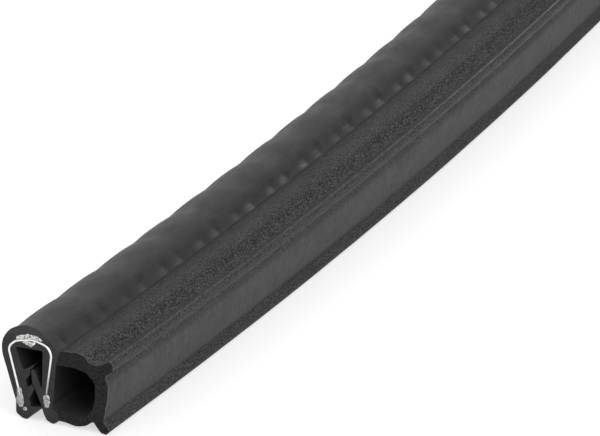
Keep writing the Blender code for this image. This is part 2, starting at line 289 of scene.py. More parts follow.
left_foot = [
    (-wall(2.9), 2.9, 0.9),
    (-3.52, 0.72, 0.55), (-2.35, 0.0, 0.8), (-1.45, 0.0, 0.5), (-0.25, 1.30, 0.9),
]
mouth_lip = [
    (1.28, 2.44, 0.10), (1.12, 2.68, 0.10), (-0.62, 2.36, 0.18),
]
lower_lip = [
    (-0.88, 3.60, 0.25), (0.30, 5.66, 0.14), (-0.12, 6.32, 0.14), (-1.02, 5.58, 0.20),
]
upper_lip = [
    (-1.26, 6.80, 0.25), (-0.34, 7.95, 0.40), (-0.20, 8.78, 0.25), (0.42, 9.36, 0.12),
    (0.58, 9.80, 0.12), (-0.45, 9.12, 0.50), (-1.55, 8.60, 0.25),
]
ceiling = [
    (-2.73, 12.39, 0.35), (2.46, 12.45, 0.30),
]
tongue = [
    (1.73, 5.58, 0.12), (0.66, 8.80, 0.14), (0.26, 9.04, 0.14), (-0.08, 8.50, 0.30),
    (-0.02, 6.42, 0.55), (0.44, 5.72, 0.50), (1.40, 2.80, 0.15),
]
right_foot = [
    (1.72, 1.45, 0.50), (2.22, 0.46, 0.60), (3.30, 0.0, 0.75), (3.95, 0.38, 0.40),
    (4.47, 0.88, 0.12), (4.30, 1.25, 0.20), (4.36, 2.15, 0.25), (3.40, 2.62, 0.25),
]
bonded_wall = [
    (4.66, 10.10, 1.50), (5.20, 11.70, 0.80), (5.62, 12.88, 0),
]
shoulder_flare = [
    (5.32, 13.05, 0), (5.00, 13.28, 0), (4.70, 13.50, 0.60),
]
crown = []
for x, z in arc((0, 0), CROWN_RADIUS_MM, CROWN_START, math.pi + lean_angle, CROWN_TURN):
    off_bulge = math.atan2(z, x) - LEFT_BULGE_ANGLE
    stretch = 1 + LEFT_BULGE_MM / CROWN_RADIUS_MM * max(0.0, math.cos(off_bulge)) ** 8
    crown.append((x * stretch, CROWN_CENTRE_MM + z * stretch))
lower_corners = left_foot + mouth_lip + lower_lip + upper_lip + ceiling + tongue + right_foot
lower_corners += bonded_wall + shoulder_flare
below_crown = rounded([(*crown[-1], 0)] + lower_corners + [(*crown[0], 0)], closed=False)
channel_outline = split_long(below_crown[:-1] + crown[:-1], LONGEST_EDGE_MM)
print("channel outline has", len(channel_outline), "points")

# %% Outline of the sponge bulb
BOND_GAP_MM = 0.02
BULB_FINENESS = 1.8
LONGEST_BULB_EDGE_MM = 1.0

bond = [(x + BOND_GAP_MM, z, 0) for x, z, _ in reversed(bonded_wall)]
belly = [
    (3.44, 3.40, 0), (3.34, 2.72, 0.05), (4.40, 2.20, 0.20), (4.34, 1.25, 0.15),
    (4.52, 0.90, 0.10), (5.60, 0.78, 1.50), (7.60, 0.46, 2.50), (9.60, 0.98, 1.20),
    (10.92, 1.86, 0.20),
]
lower_fin = [
    (12.20, 0.30, 0.60), (13.15, 0.02, 0.50), (13.98, 0.74, 0.50), (12.80, 2.12, 0.22),
]
side_wall = [
    (13.46, 4.60, 2.50), (14.08, 7.20, 2.00), (14.22, 8.80, 1.00), (13.80, 9.75, 0.60),
    (14.02, 10.52, 0.50),
]
upper_fin = [
    (15.24, 11.25, 0.24), (15.49, 12.42, 0.45), (14.76, 12.96, 0.32), (13.50, 12.20, 0.90),
    (12.35, 11.72, 1.00), (11.05, 11.86, 0.80),
]
top_skin = [
    (10.30, 12.98, 0.60), (8.80, 13.34, 2.00), (6.80, 13.12, 1.50),
]
hollow = [
    (4.82, 10.55, 0), (7.60, 10.66, 2.50), (10.30, 10.25, 1.80), (11.82, 8.60, 1.30),
    (11.66, 6.60, 2.00), (11.10, 4.30, 2.00), (9.70, 2.45, 1.50), (7.40, 2.20, 2.00),
    (4.30, 2.60, 0.90),
]
outer_skin = belly + lower_fin + side_wall + upper_fin + top_skin
bulb_outline = rounded(outer_skin + bond[:2] + hollow, fineness=BULB_FINENESS)
bulb_outline = split_long(bulb_outline, LONGEST_BULB_EDGE_MM)
print("bulb outline has", len(bulb_outline), "points")

# %% [markdown]
# ## Sweeping a section
# An extruded piece is its section carried along a line, which is what Geometry Nodes do in a few
# nodes: an arc for the strip's line, the outline as a mesh turned into a curve, and Curve to
# Mesh. The tree also stores each point's place on the straightened strip. Patterns read that
# place, so streaks run along the rubber however it bends. The wire's relief is a second step
# in the same tree, because it repeats with the wire and fades by how far a point lies from it.

# %% Section guides
WIRE_PERIOD_MM = 11.73
FIRST_LEG_MM = 8.6
SECOND_LEG_MM = 13.25
CUT_RECESS_MM = 0.15


def section_guide(name, outline, closed=True, **rules):
    """The outline as a loose wire mesh that a tree can read.

    Each of its points stores how strongly it feels each kind of relief: 0, or what a rule says.
    """
    mesh = bpy.data.meshes.new(name)
    count = len(outline)
    edges = [(i, (i + 1) % count) for i in range(count if closed else count - 1)]
    mesh.from_pydata([(x * MM, -z * MM, 0) for x, z in outline], edges, [])
    for key in ("shoulder", "crown", "round_crown", "outside"):
        layer = mesh.attributes.new(key, "FLOAT", "POINT")
        for item, (x, z) in zip(layer.data, outline):
            item.value = rules[key](x, z) if key in rules else 0.0
    return bpy.data.objects.new(name, mesh)


def socket_name(key):
    """The name on a tree's input for a Python argument: bow_radius is Bow Radius."""
    return key.replace("_", " ").title()


def new_tree(name, **kinds):
    """An empty Geometry Nodes tree with named inputs, each given with its kind of socket."""
    tree = bpy.data.node_groups.new(name, "GeometryNodeTree")
    tree.interface.new_socket("Geometry", in_out="INPUT", socket_type="NodeSocketGeometry")
    for key, kind in kinds.items():
        tree.interface.new_socket(socket_name(key), in_out="INPUT", socket_type="NodeSocket" + kind)
    tree.interface.new_socket("Geometry", in_out="OUTPUT", socket_type="NodeSocketGeometry")
    return tree, tree.nodes.new("NodeGroupInput").outputs


def calculate(tree, operation, *values):
    """One Math node on sockets or numbers, and its result."""
    return add_node(tree, "ShaderNodeMath", {"operation": operation}, dict(enumerate(values))).outputs[0]


def product(tree, first, *others):
    """All the values multiplied together."""
    for other in others:
        first = calculate(tree, "MULTIPLY", first, other)
    return first


def read(tree, name, kind="FLOAT"):
    """The value of a stored attribute."""
    return add_node(tree, "GeometryNodeInputNamedAttribute", {"data_type": kind}, {"Name": name}).outputs[0]


def store(tree, shape, name, value, kind="FLOAT"):
    """Stores a value on every point and passes the shape on."""
    node = add_node(tree, "GeometryNodeStoreNamedAttribute", {"data_type": kind, "domain": "POINT"}, {
        "Geometry": shape, "Name": name, "Value": value})
    return node.outputs[0]


def shape_of(tree, source):
    """The shape of the object on an input, in its own coordinates."""
    return add_node(tree, "GeometryNodeObjectInfo", {"transform_space": "ORIGINAL"}, {
        "Object": source}).outputs["Geometry"]


def end_tree(tree, shape, material):
    """Realizes what is instanced, sets the material and closes the tree."""
    real = add_node(tree, "GeometryNodeRealizeInstances", inputs={"Geometry": shape})
    painted = add_node(tree, "GeometryNodeSetMaterial", inputs={
        "Geometry": real.outputs[0], "Material": material})
    out = tree.nodes.new("NodeGroupOutput")
    tree.links.new(painted.outputs[0], out.inputs[0])


# %% Relief that repeats with the wire
# Where each ramp is 0 and where it is 1, in millimetres past a leg of the wire.
MARK_RAMPS_MM = ((-2.1, 0.3), (1.5, 0.7))
# The dip's ramps place painted shade just behind each leg.
DIP_SHADE_RAMPS_MM = ((0.3, 1.6), (3.8, 1.9))
SWELL_START = 0.685
SWELL_SLANT = 0.22
SWELL_SHARPNESS = 1.9
WANDER_PER_METRE = (260.0, 70.0, 260.0)
WANDER_TOP = 0.8


def peak(tree, turns, sharpness):
    """A row of rounded peaks, one for each turn: 1 at whole turns and 0 between."""
    wave = calculate(tree, "COSINE", product(tree, turns, 2 * math.pi))
    lifted = calculate(tree, "MULTIPLY_ADD", wave, 0.5, 0.5)
    return calculate(tree, "POWER", lifted, sharpness)


def smooth_step(tree, length, zero_at_mm, one_at_mm):
    """0 at one length and 1 at another, with a soft start and end."""
    return add_node(tree, "ShaderNodeMapRange", {"interpolation_type": "SMOOTHSTEP"}, {
        "Value": length, "From Min": zero_at_mm * MM, "From Max": one_at_mm * MM}).outputs["Result"]


def leg_pulse(tree, along, leg, period, ramps_mm):
    """Rises from 0 to 1 and falls back once in each period, near a leg of the wire.

    With the mark's ramps it rises slowly towards the leg and drops sharply behind it, which gives
    the bump and its painted highlight. With the dip's ramps it is 1 just behind the leg, where the
    skin turns away from the light and painted shade darkens it.
    """
    half = product(tree, period, 0.5)
    past = calculate(tree, "SUBTRACT", along, leg)
    offset = calculate(tree, "WRAP", past, half, product(tree, half, -1.0))
    return product(tree, *(smooth_step(tree, offset, *ramp) for ramp in ramps_mm))


# %% The sweeping tree


def build_sweep_tree():
    """Section along the bow, then the relief that the wire and the coil leave on the skin."""
    tree, value = new_tree(
        "extruded_strip", section="Object", length="Float", bow_radius="Float", bow_centre="Vector",
        start="Float", rings="Int", wire_period="Float", first_leg="Float", second_leg="Float",
        leg_height="Float", ripple_height="Float", unevenness="Float", material="Material")
    line = add_node(tree, "GeometryNodeCurveArc", {"mode": "RADIUS"}, {
        "Resolution": value["Rings"], "Radius": value["Bow Radius"],
        "Start Angle": calculate(tree, "DIVIDE", value["Start"], value["Bow Radius"]),
        "Sweep Angle": calculate(tree, "DIVIDE", value["Length"], value["Bow Radius"])})
    level = add_node(tree, "GeometryNodeSetCurveNormal", {"mode": "Z_UP"}, {"Curve": line.outputs[0]})
    reach = add_node(tree, "GeometryNodeSplineParameter").outputs["Length"]
    marked = store(tree, level.outputs[0], "along", calculate(tree, "ADD", reach, value["Start"]))
    flat = add_node(tree, "GeometryNodeInputPosition").outputs[0]
    noted = store(tree, shape_of(tree, value["Section"]), "flat", flat, "FLOAT_VECTOR")
    loop = add_node(tree, "GeometryNodeMeshToCurve", inputs={"Mesh": noted})
    swept = add_node(tree, "GeometryNodeCurveToMesh", inputs={
        "Curve": marked, "Profile Curve": loop.outputs[0]})
    outward = add_node(tree, "GeometryNodeFlipFaces", inputs={"Mesh": swept.outputs[0]})
    placed = add_node(tree, "GeometryNodeTransform", inputs={
        "Geometry": outward.outputs[0], "Translation": value["Bow Centre"]})
    flat_parts = add_node(tree, "ShaderNodeSeparateXYZ", inputs={0: read(tree, "flat", "FLOAT_VECTOR")})
    along = read(tree, "along")
    straight = add_node(tree, "ShaderNodeCombineXYZ", inputs={
        "X": flat_parts.outputs["X"], "Y": along,
        "Z": product(tree, flat_parts.outputs["Y"], -1.0)}).outputs[0]
    shape = store(tree, placed.outputs[0], "straight", straight, "FLOAT_VECTOR")
    legs = calculate(tree, "ADD", *(
        leg_pulse(tree, along, value[leg], value["Wire Period"], MARK_RAMPS_MM)
        for leg in ("First Leg", "Second Leg")))
    leg_relief = product(tree, legs, read(tree, "shoulder"), value["Leg Height"])
    turns = calculate(tree, "DIVIDE", along, value["Wire Period"])
    slant = calculate(tree, "MULTIPLY_ADD", read(tree, "round_crown"), SWELL_SLANT, turns)
    swell = peak(tree, calculate(tree, "SUBTRACT", slant, SWELL_START), SWELL_SHARPNESS)
    ripple = product(tree, swell, read(tree, "crown"), value["Ripple Height"])
    wander_place = add_node(tree, "ShaderNodeVectorMath", {"operation": "MULTIPLY"}, {
        0: straight, 1: WANDER_PER_METRE})
    wander = add_node(tree, "ShaderNodeTexNoise", inputs={
        "Vector": wander_place.outputs[0], "Scale": 1.0, "Detail": 2.0})
    inward = calculate(tree, "SUBTRACT", wander.outputs[0], WANDER_TOP)
    uneven = product(tree, inward, read(tree, "outside"), value["Unevenness"])
    height = calculate(tree, "ADD", calculate(tree, "ADD", leg_relief, ripple), uneven)
    normal = add_node(tree, "GeometryNodeInputNormal").outputs[0]
    push = add_node(tree, "ShaderNodeVectorMath", {"operation": "SCALE"}, {0: normal, "Scale": height})
    relief = add_node(tree, "GeometryNodeSetPosition", inputs={
        "Geometry": shape, "Offset": push.outputs[0]})
    end_tree(tree, relief.outputs[0], value["Material"])
    return tree


sweep_tree = build_sweep_tree()


def run_tree(name, tree, **inputs):
    """Runs a tree on an empty mesh and keeps the result as a plain mesh object."""
    carrier = bpy.data.objects.new(name, bpy.data.meshes.new(name))
    bpy.context.scene.collection.objects.link(carrier)
    modifier = carrier.modifiers.new("made by nodes", "NODES")
    modifier.node_group = tree
    sockets = {s.name: s.identifier for s in tree.interface.items_tree if s.in_out == "INPUT"}
    for key, item in inputs.items():
        modifier[sockets[socket_name(key)]] = item
    graph = bpy.context.evaluated_depsgraph_get()
    result = bpy.data.meshes.new_from_object(carrier.evaluated_get(graph))
    carrier.modifiers.clear()
    carrier.data = result
    print(name, "has", len(result.vertices), "points and", len(result.polygons), "faces")
    return carrier


def sweep(name, guide, rings, margin_mm, material, leg_mm=0.0, ripple_mm=0.0, unevenness_mm=0.0):
    """Carries a section along the strip, from a small margin behind one cut to the other's."""
    return run_tree(
        name, sweep_tree, section=guide, length=STRIP_LENGTH - 2 * margin_mm * MM,
        bow_radius=BOW_RADIUS, bow_centre=bow_centre, start=margin_mm * MM, rings=rings,
        wire_period=WIRE_PERIOD_MM * MM, first_leg=FIRST_LEG_MM * MM, second_leg=SECOND_LEG_MM * MM,
        leg_height=leg_mm * MM, ripple_height=ripple_mm * MM, unevenness=unevenness_mm * MM,
        material=material)


# %% [markdown]
# ## Cut ends
# The strip was cut with a blade, so each end shows the rubber's inside: dense rubber with fine
# drag marks, and sponge full of opened cells. The ends are closed by filling the swept mesh's own
# open rings, with points scattered inside so that the blade's unevenness is real relief. A
# plain n-sided cap would be closed too, but it would stay perfectly flat.

# %% Closing an end
SHARP_ANGLE = math.radians(38)
WELD_DISTANCE = 1e-7
GRID_JITTER = (0.2, 0.8)
RIM_GAP = 0.4
RIM_JITTER = 0.6
COARSE_PER_MM = 2.3
FINE_PER_MM = 6.0


def open_ring(mesh, end_along, place):
    """The points round one open end, in order."""
    edges = [e for e in mesh.edges if e.is_boundary and abs(e.verts[0][place].y - end_along) < MM]
    ahead = {}
    for edge in edges:
        for a, b in (edge.verts, reversed(edge.verts)):
            ahead.setdefault(a, []).append(b)
    ring = [edges[0].verts[0], edges[0].verts[1]]
    while len(ring) < len(edges):
        options = [v for v in ahead[ring[-1]] if v is not ring[-2]]
        ring.append(options[0])
    return ring


def scattered_inside(outline, spacing, seed):
    """A jittered grid of points inside an outline, kept off its edge."""
    draw = random.Random(seed)
    xs, zs = zip(*outline)
    rows = int((max(zs) - min(zs)) / spacing) + 1
    columns = int((max(xs) - min(xs)) / spacing) + 1
    spots = [(min(xs) + (column + draw.uniform(*GRID_JITTER)) * spacing,
              min(zs) + (row + draw.uniform(*GRID_JITTER)) * spacing)
             for row in range(rows) for column in range(columns)]
    return [s for s in spots if inside(s, outline) and clear_of(s, outline, spacing * RIM_GAP)]


def inside(spot, outline):
    """Whether a spot lies inside a closed outline, by counting crossings."""
    crossings = 0
    for (ax, az), (bx, bz) in zip(outline, outline[1:] + outline[:1]):
        if (az > spot[1]) != (bz > spot[1]):
            crossings += spot[0] < ax + (bx - ax) * (spot[1] - az) / (bz - az)
    return crossings % 2 == 1


def clear_of(spot, outline, distance):
    """Whether a spot keeps its distance from every point of an outline."""
    return all(math.dist(spot, point) > distance for point in outline)


def close_end(mesh, end_along, spacing, roughness_mm, seed):
    """Fills one open end with small faces that are rough by a few hundredths of a millimetre."""
    place = mesh.verts.layers.float_vector["straight"]
    ring = open_ring(mesh, end_along, place)
    draw = random.Random(seed)
    for corner in ring:
        x = corner[place].x / MM + draw.uniform(-RIM_JITTER, RIM_JITTER) * roughness_mm
        z = corner[place].z / MM + draw.uniform(-RIM_JITTER, RIM_JITTER) * roughness_mm
        z = min(max(0.0, z), CROWN_CENTRE_MM + CROWN_RADIUS_MM)
        corner[place] = (x * MM, end_along, z * MM)
        corner.co = on_strip(x, end_along, z)
    outline = [(v[place].x / MM, v[place].z / MM) for v in ring]
    spots = scattered_inside(outline, spacing, seed)
    flat = [Vector(p) for p in outline + spots]
    loop = [(i, (i + 1) % len(ring)) for i in range(len(ring))]
    points, _, faces, origins, _, _ = geometry.delaunay_2d_cdt(flat, loop, [], 1, 1e-6)
    inward = 1 if end_along < STRIP_LENGTH / 2 else -1
    corners = []
    for point, origin in zip(points, origins):
        if origin and origin[0] < len(ring):
            corners.append(ring[origin[0]])
            continue
        spot = Vector((point.x, point.y, seed))
        rough = noise.noise(spot * COARSE_PER_MM) + noise.noise(spot * FINE_PER_MM)
        depth = end_along + inward * abs(rough) * roughness_mm * MM
        corner = mesh.verts.new(on_strip(point.x, depth, point.y))
        corner[place] = (point.x * MM, depth, point.y * MM)
        corners.append(corner)
    for face in faces:
        filled = mesh.faces.new([corners[i] for i in face])
        filled.material_index = 1
        filled.smooth = True
    return len(faces)


def finish_strip(piece, cut_material, spacing, roughness_mm, seed):
    """Closes both ends of a swept piece, points its faces outwards and keeps its edges crisp.

    The rough face's points lie a spacing apart, in millimetres like its roughness.
    """
    mesh = bmesh.new()
    mesh.from_mesh(piece.data)
    bmesh.ops.remove_doubles(mesh, verts=mesh.verts, dist=WELD_DISTANCE)
    for i, end_along in enumerate((CUT_RECESS_MM * MM, STRIP_LENGTH - CUT_RECESS_MM * MM)):
        count = close_end(mesh, end_along, spacing, roughness_mm, seed + i)
        print(piece.name, "end", i, "closed with", count, "faces")
    bmesh.ops.recalc_face_normals(mesh, faces=mesh.faces)
    loose = sum(e.is_boundary for e in mesh.edges)
    mesh.to_mesh(piece.data)
    mesh.free()
    piece.data.materials.append(cut_material)
    piece.data.shade_smooth()
    piece.data.set_sharp_from_angle(angle=SHARP_ANGLE)
    print(piece.name, "open edges left:", loose)


# %% [markdown]
# ## Rubber surfaces
# Dense EPDM leaves the die smooth and satin: it shows as dark grey with a soft gleam, broken by
# hair-fine lines that the die drew along the strip. Sponge EPDM blows up after the die, so its
# skin is a fine matt grain. Both are one dielectric with carbon black in it, so colour hardly
# changes, and the difference is in roughness and relief. The patterns are read from the
# straightened place and their sizes are given in millimetres, across, along and up.

# %% Pattern helpers
RIM_MM = (0.55, 0.25)


def attribute(tree, name, output="Vector"):
    """A value that the sweep stored on the mesh, for a shader."""
    return add_node(tree, "ShaderNodeAttribute", {"attribute_name": name}).outputs[output]


def straightened(tree, size_mm):
    """The straightened place, divided by a pattern's size across, along and up."""
    return add_node(tree, "ShaderNodeMapping", inputs={
        "Vector": attribute(tree, "straight"), "Scale": [1 / (s * MM) for s in size_mm]}).outputs[0]


def noise_pattern(tree, size_mm, detail=2.0, roughness=0.5):
    """Noise whose blobs have the given size in millimetres, from 0 to 1."""
    return add_node(tree, "ShaderNodeTexNoise", inputs={
        "Vector": straightened(tree, size_mm), "Scale": 1.0, "Detail": detail,
        "Roughness": roughness}).outputs["Fac"]


def spread(tree, value, low, high, from_low=0.3, from_high=0.7):
    """A pattern stretched to run from a low to a high value."""
    return add_node(tree, "ShaderNodeMapRange", inputs={
        "Value": value, "From Min": from_low, "From Max": from_high,
        "To Min": low, "To Max": high}).outputs["Result"]


def patchy(tree, size_mm, low, detail=2.0):
    """Noise from a low value to 1, which makes a mark come and go along the strip."""
    return spread(tree, noise_pattern(tree, size_mm, detail), low, 1.0)


def section_place(tree):
    """Sockets with the straightened place: across, along and up."""
    return add_node(tree, "ShaderNodeSeparateXYZ", inputs={0: attribute(tree, "straight")}).outputs


def near_line(tree, line_mm, full_mm, reach_mm):
    """1 near a line along the strip at a place in the section, fading to 0 at a distance."""
    across, _, up = section_place(tree)
    offsets = [calculate(tree, "SUBTRACT", axis, mm * MM) for axis, mm in zip((across, up), line_mm)]
    squares = [product(tree, offset, offset) for offset in offsets]
    distance = calculate(tree, "SQRT", calculate(tree, "ADD", *squares))
    return smooth_step(tree, distance, reach_mm, full_mm)


def blend(tree, share, below, above):
    """One colour going over to another. A colour is a socket or a hex text."""
    colours = [linear(c) if isinstance(c, str) else c for c in (below, above)]
    return add_node(tree, "ShaderNodeMix", {"data_type": "RGBA"}, {
        "Factor": share, 6: colours[0], 7: colours[1]}).outputs[2]


def painted(tree, colour, layers):
    """A colour with layers laid over it in turn, each given as its share and its colour."""
    for share, above in layers:
        colour = blend(tree, share, colour, above)
    return colour


def cut_rim_highlight(tree, share):
    """A share of painted highlight in the half millimetre of skin next to either cut, 0 elsewhere."""
    along = section_place(tree)[1]
    rest = calculate(tree, "SUBTRACT", STRIP_LENGTH, along)
    nearest = calculate(tree, "MINIMUM", along, rest)
    return product(tree, smooth_step(tree, nearest, *RIM_MM), share)


def open_air(tree):
    """1 on the outer skin, 0 in the hollow and inside the channel, where no light falls."""
    return attribute(tree, "outside", "Fac")


def relief(tree, height, depth_mm):
    """A normal with bumps from a height pattern of the given depth."""
    return add_node(tree, "ShaderNodeBump", inputs={
        "Height": height, "Distance": depth_mm * MM, "Strength": 1.0}).outputs["Normal"]


# %% [markdown]
# ## Marks of the wire, and painted light and shade
# The legs of the wire press the shoulder's skin out in pairs. On the rise to each leg a pale patch of
# painted highlight lies on the bump, and a dark patch of painted shade lies behind it, the second one
# of a pair darker. Along the haunch above, the skin is dull and grainy. The sponge has painted shade
# in the crease over its low fin and on the slope up to its crest, and a painted highlight along the
# crest and the upper fin's edge, stronger far from the cut. Each of these is a distance from a line
# in the section, broken up by noise, so no image of the marks is needed.

# %% Dense EPDM, extruded skin
SHOULDER_MM = (5.08, 13.14)
HAUNCH_MM = (4.35, 14.05)
FIRST_DIP_SHADE_SHARE = 0.6
EPDM_IOR = 1.5


def extruded_epdm():
    """Dense EPDM as it leaves the die: satin dark grey with drawn lines along the strip."""
    material, tree, shader = new_material("dense_epdm_extruded")
    lines = noise_pattern(tree, (0.16, 9.0, 0.16))
    clouds = noise_pattern(tree, (1.6, 4.0, 1.6), 4.0, 0.6)
    grain = noise_pattern(tree, (0.22, 0.26, 0.22), 2.0, 0.8)
    along = section_place(tree)[1]
    bump_highlight_pulses, dip_shade_pulses = ([leg_pulse(tree, along, leg * MM, WIRE_PERIOD_MM * MM, ramps)
                    for leg in (FIRST_LEG_MM, SECOND_LEG_MM)] for ramps in (MARK_RAMPS_MM, DIP_SHADE_RAMPS_MM))
    # A pale patch of painted highlight on the lit rise of each bump. The same pulse also raises the bump in
    # the relief.
    bump_highlight = product(
        tree, calculate(tree, "ADD", *bump_highlight_pulses), near_line(tree, SHOULDER_MM, 0.4, 1.3),
        patchy(tree, (0.26, 3.5, 0.26), 0.2), patchy(tree, (2.5, 7.0, 2.5), 0.3),
        spread(tree, along, 0.25, 1.0, 10 * MM, 50 * MM))
    # Painted shade just behind each leg, where the skin turns away from the light. It also lowers the gleam
    # there.
    dip_shade = product(
        tree, calculate(tree, "MULTIPLY_ADD", dip_shade_pulses[0], FIRST_DIP_SHADE_SHARE, dip_shade_pulses[1]),
        near_line(tree, HAUNCH_MM, 0.2, 2.2), patchy(tree, (1.6, 2.6, 1.6), 0.1, 3.0))
    haunch = near_line(tree, HAUNCH_MM, 0.8, 3.0)
    # Layers: drawn lines, darker near the shoulder, painted shade behind each leg, dark grain on the haunch,
    # painted highlight on each bump and next to each cut.
    skin = painted(tree, blend(tree, spread(tree, clouds, 0, 1), "#1e1e1e", "#2b2b2b"), [
        (spread(tree, lines, 0, 0.45), "#161616"),
        (near_line(tree, SHOULDER_MM, 0.9, 3.8), "#0a0a0a"),
        (dip_shade, "#000000"),
        (product(tree, haunch, spread(tree, grain, 0.7, 0, 0.40, 0.60)), "#000000"),
        (bump_highlight, "#4c4c4c"),
        # Painted highlight along the skin's edge at each cut.
        (cut_rim_highlight(tree, 0.15), "#444444"),
    ])
    air = open_air(tree)
    rough_haunch = calculate(tree, "MULTIPLY_ADD", haunch, 2.6, 0.3)
    height = calculate(tree, "MULTIPLY_ADD", grain, rough_haunch, lines)
    height = calculate(tree, "MULTIPLY_ADD", bump_highlight, 3.0, height)
    fill(tree, shader, {
        "Base Color": blend(tree, air, "#1e1e1e", skin),
        "Specular IOR Level": calculate(tree, "MULTIPLY_ADD", dip_shade, -0.17, spread(tree, air, 0.25, 0.5, 0, 1)),
        "Roughness": spread(tree, clouds, 0.64, 0.54),
        "IOR": EPDM_IOR,
        "Normal": relief(tree, height, 0.02),
    })
    return material


# %% Sponge EPDM, foamed skin
CREST_MM = (14.78, 12.88)
FIN_EDGE_MM = (15.20, 11.32)
CREASE_MM = (12.90, 2.40)
WALL_FOOT_MM = 1.95


def fin_lines(tree, full_mm, reach_mm):
    """1 near the two edges of the upper fin."""
    return calculate(tree, "MAXIMUM", *(
        near_line(tree, line, full_mm, reach_mm) for line in (CREST_MM, FIN_EDGE_MM)))


def sponge_epdm_skin():
    """Closed-cell sponge EPDM: a fine matt grain that scatters the light."""
    material, tree, shader = new_material("sponge_epdm_skin")
    grain = noise_pattern(tree, (0.27, 0.31, 0.27), 2.0, 0.9)
    clouds = noise_pattern(tree, (3.0, 6.0, 3.0), 3.0)
    brushed = noise_pattern(tree, (0.5, 0.24, 3.0), 2.0, 0.7)
    across, along, up = section_place(tree)
    side = smooth_step(tree, across, 11.9, 12.3)
    above_notch = smooth_step(tree, up, WALL_FOOT_MM, WALL_FOOT_MM + 0.9)
    low = product(tree, side, calculate(tree, "SUBTRACT", 1.0, above_notch), 0.12)
    wall_zone = product(tree, side, above_notch, smooth_step(tree, up, 10.4, 8.0))
    # Painted shade in the valley before the upper fin and on the fin's inner slope, which turns away from the
    # light. The grain there is coarser, and the gleam is lowered.
    valley_shade = product(tree, smooth_step(tree, across, 9.6, 11.4), smooth_step(tree, up, 11.0, 11.4),
                     smooth_step(tree, across, 14.9, 14.5))
    slope = product(tree, valley_shade, smooth_step(tree, across, 11.9, 13.1))
    # Painted shade in the crease over the low fin.
    crease_shade = product(tree, near_line(tree, CREASE_MM, 0.10, 0.50),
                     spread(tree, noise_pattern(tree, (1.0, 6.0, 1.0)), 0.1, 0.6))
    # Painted highlight along the crest and the upper fin's outer edge, where the sharp edges catch the light,
    # stronger far from the cut.
    edge_highlight = product(tree, fin_lines(tree, 0.05, 0.30),
                   spread(tree, noise_pattern(tree, (1.0, 1.5, 1.0)), 0.1, 0.7),
                   spread(tree, along, 0.9, 2.2, 60 * MM, 240 * MM))
    # A narrower, brighter painted highlight on the same edges, coming in further from the cut.
    edge_glint = product(tree, fin_lines(tree, 0.04, 0.16), patchy(tree, (1.0, 2.5, 1.0), 0.2),
                   spread(tree, along, 0, 0.8, 80 * MM, 280 * MM))
    skin = painted(tree, blend(tree, spread(tree, grain, 0, 1, 0.44, 0.60), "#000000", "#3f3f3f"), [
        (valley_shade, blend(tree, spread(tree, grain, 0, 1, 0.48, 0.58), "#000000", "#4e4e4e")),
        (spread(tree, along, 0, 0.75, 110 * MM, 300 * MM), "#1e1e1e"),
        (wall_zone, blend(tree, spread(tree, brushed, 0, 1), "#1a1a1a", "#3a3a3a")),
        (low, "#0a0a0a"),
        (crease_shade, "#000000"),
        # Painted highlight on the upper fin's edges and next to each cut.
        (calculate(tree, "MAXIMUM", edge_highlight, cut_rim_highlight(tree, 0.4)), "#4c4c4c"),
        (edge_glint, "#949494"),
    ])
    air = open_air(tree)
    dull = calculate(tree, "MAXIMUM", valley_shade, crease_shade)
    gleam = 0.36
    for zone, change in ((wall_zone, 0.13), (dull, -0.06), (slope, -0.10)):
        gleam = calculate(tree, "MULTIPLY_ADD", zone, change, gleam)
    fill(tree, shader, {
        "Base Color": blend(tree, air, "#2a2a2a", skin),
        "Specular IOR Level": calculate(
            tree, "MULTIPLY_ADD", calculate(tree, "SUBTRACT", gleam, 0.2), air, 0.2),
        "Roughness": spread(tree, clouds, 0.66, 0.78),
        "IOR": EPDM_IOR,
        "Normal": relief(tree, grain, 0.12),
    })
    return material


# %% Cut faces


def cut_epdm():
    """Dense EPDM under the blade: duller than the skin, with short drag marks, paler at the crown."""
    material, tree, shader = new_material("dense_epdm_cut")
    drag = noise_pattern(tree, (0.9, 0.9, 0.12), 3.0)
    specks = noise_pattern(tree, (0.18, 0.18, 0.18), 1.0)
    smears = noise_pattern(tree, (1.1, 1.1, 1.1), 3.0, 0.6)
    crown_top = smooth_step(tree, section_place(tree)[2], 13.6, 15.2)
    fill(tree, shader, {
        "Base Color": painted(tree, blend(tree, spread(tree, specks, 0, 1), "#121212", "#2e2e2e"), [
            (spread(tree, smears, 0, 0.7), "#0a0a0a"), (product(tree, crown_top, 0.5), "#333333")]),
        "Roughness": spread(tree, drag, 0.55, 0.75),
        "Specular IOR Level": 0.34,
        "Normal": relief(tree, drag, 0.03),
    })
    return material


def cut_sponge():
    """Sponge EPDM under the blade: opened cells, so the face is darker and pitted, with painted shade in each
    pit.
    """
    material, tree, shader = new_material("sponge_epdm_cut")
    cells = add_node(tree, "ShaderNodeTexVoronoi", {"feature": "F1"}, {
        "Vector": straightened(tree, (0.32, 0.32, 0.32)), "Scale": 1.0}).outputs["Distance"]
    fill(tree, shader, {
        # The cells' centres, which the bump sinks into pits, are painted near black as shade in the open
        # cells.
        "Base Color": blend(tree, spread(tree, cells, 0, 1, 0.15, 0.6), "#010101", "#232323"),
        "Roughness": 0.85,
        "Specular IOR Level": 0.16,
        "Normal": relief(tree, cells, 0.16),
    })
    return material


dense_skin = extruded_epdm()
sponge_skin = sponge_epdm_skin()
dense_cut = cut_epdm()
sponge_cut = cut_sponge()
print("rubber materials ready")

# %% [markdown]
# ## Grip channel
# The channel is one dense rubber extrusion. Its crown and right shoulder show the wire inside:
# the rubber rises a little where a leg of the wire crosses, in pairs along the strip, and the
# whole crown swells with the same beat. How strongly a point feels that is worked out in the
# section and stored on the guide, so the relief fades by itself towards the feet and the cavity.

